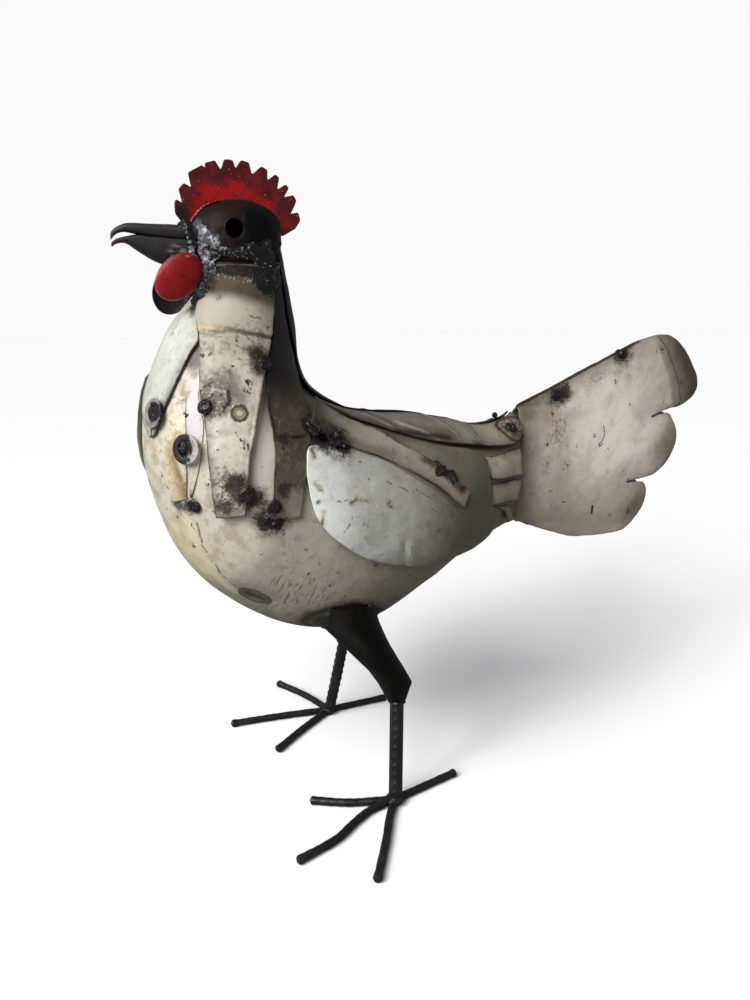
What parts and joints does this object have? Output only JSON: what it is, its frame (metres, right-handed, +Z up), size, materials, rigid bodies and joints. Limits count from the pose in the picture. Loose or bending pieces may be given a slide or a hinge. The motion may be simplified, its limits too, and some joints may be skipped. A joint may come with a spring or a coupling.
{
  "type": "metal hen sculpture",
  "caption": "Standing hen in welded and enamelled scrap sheet, with a saw-toothed comb, domed wings, an upright fan tail and rod legs with splayed toes.",
  "frame": {"origin": "on the ground under the middle of the hen's box; the hen stands on its toes at z = 0", "axes": "-Y is the way the hen faces, +X is its left side, +Z is up"},
  "size_m": [0.2739, 0.5019, 0.456],
  "materials": {
    "worn_cream_enamel": "worn, stained and heat-marked cream to grey drum enamel",
    "black_enamel": "brushed-on black enamel, glossy on the head, satin on the legs",
    "red_enamel": "glossy deep red enamel with specks",
    "burnt_steel": "heat-darkened bare steel"
  },
  "bodies": {
    "root": {"beak_lower": "black_enamel", "beak_upper": "black_enamel", "body": "worn_cream_enamel", "breast_feather_left": "worn_cream_enamel", "breast_feather_right": "worn_cream_enamel", "breast_strip_left": "worn_cream_enamel", "comb": "red_enamel", "eye_left": "black_enamel", "eye_right": "black_enamel", "head": "black_enamel", "leg_left": "black_enamel", "leg_right": "black_enamel", "nape_strip": "black_enamel", "neck_strip_left": "worn_cream_enamel", "neck_strip_right": "worn_cream_enamel", "rump_tab_bottom_left": "worn_cream_enamel", "rump_tab_bottom_right": "worn_cream_enamel", "rump_tab_middle_left": "worn_cream_enamel", "rump_tab_middle_right": "worn_cream_enamel", "rump_tab_top_left": "worn_cream_enamel", "rump_tab_top_right": "worn_cream_enamel", "saddle_strip_left": "worn_cream_enamel", "saddle_strip_right": "worn_cream_enamel", "side_strip_left": "worn_cream_enamel", "side_strip_right": "worn_cream_enamel", "tail_left": "worn_cream_enamel", "tail_right": "worn_cream_enamel", "thigh_left": "black_enamel", "thigh_right": "black_enamel", "toe_left_back": "black_enamel", "toe_left_inner": "black_enamel", "toe_left_middle": "black_enamel", "toe_left_outer": "black_enamel", "toe_right_back": "black_enamel", "toe_right_inner": "black_enamel", "toe_right_middle": "black_enamel", "toe_right_outer": "black_enamel", "under_feather_left": "worn_cream_enamel", "washer_lower": "burnt_steel", "washer_upper": "burnt_steel", "wattle_left": "red_enamel", "wattle_right": "red_enamel", "wing_left": "worn_cream_enamel", "wing_right": "worn_cream_enamel", "wing_strip_left": "worn_cream_enamel", "wing_strip_right": "worn_cream_enamel"}
  },
  "joints": []
}
